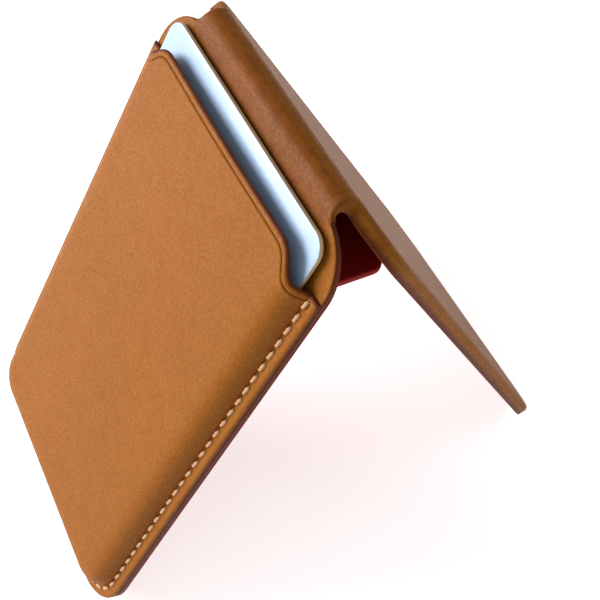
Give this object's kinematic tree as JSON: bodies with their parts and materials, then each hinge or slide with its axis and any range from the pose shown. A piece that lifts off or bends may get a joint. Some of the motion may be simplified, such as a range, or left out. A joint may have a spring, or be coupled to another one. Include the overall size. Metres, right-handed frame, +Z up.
{
  "type": "phone wallet stand",
  "caption": "Leather card wallet with a hinged magnetic phone flap and a fold-out brace; it stands as a tent and folds flat.",
  "frame": {"origin": "on the table, under the ridge axis, midway between the feet of the two leaves", "axes": "+X along the ridge, +Y from the wallet leaf to the flap, +Z up"},
  "size_m": [0.0618, 0.1024, 0.0909],
  "materials": {
    "leather": "fine pebble grain, satin",
    "lining": "thin smooth leather lining, matte",
    "board": "matte fibre board",
    "steel": "rolled sheet",
    "magnet": "nickel plate",
    "thread": "waxed thread",
    "card": "smooth laminated plastic"
  },
  "bodies": {
    "wallet": {"back_panel": "leather", "back_board": "board", "back_lining": "lining", "closing_magnets": "magnet", "ridge_tape": "board", "brace_hinge_tape": "lining", "front_panel": "leather", "front_lining": "lining", "stitching": "thread"},
    "card": {"card": "card"},
    "flap": {"flap_leather": "leather", "flap_frame": "board", "magnet_ring": "magnet", "ring_shunt": "steel", "alignment_magnet": "magnet", "keeper_strip": "steel", "closing_plates": "steel", "flap_lining": "lining"},
    "brace": {"brace_upper_skin": "lining", "brace_plate": "steel", "brace_lower_skin": "lining", "brace_magnets": "magnet"}
  },
  "joints": [
    {"name": "flap_hinge", "type": "hinge", "parent": "wallet", "child": "flap", "pos_m": [0, 0, 0.0871], "axis": [-1, 0, 0], "range_deg": [0, 57.5]},
    {"name": "brace_fold", "type": "hinge", "parent": "wallet", "child": "brace", "pos_m": [0, -0.0088, 0.07106], "axis": [-1, 0, 0], "range_deg": [0, 115.1]},
    {"name": "card_slide", "type": "slide", "parent": "wallet", "child": "card", "axis": [0, 0.481, 0.8767], "range_m": [-0.008, 0.075]}
  ],
  "couplings": [
    {"joint": "brace_fold", "follows": "flap_hinge", "ratio": 2}
  ]
}
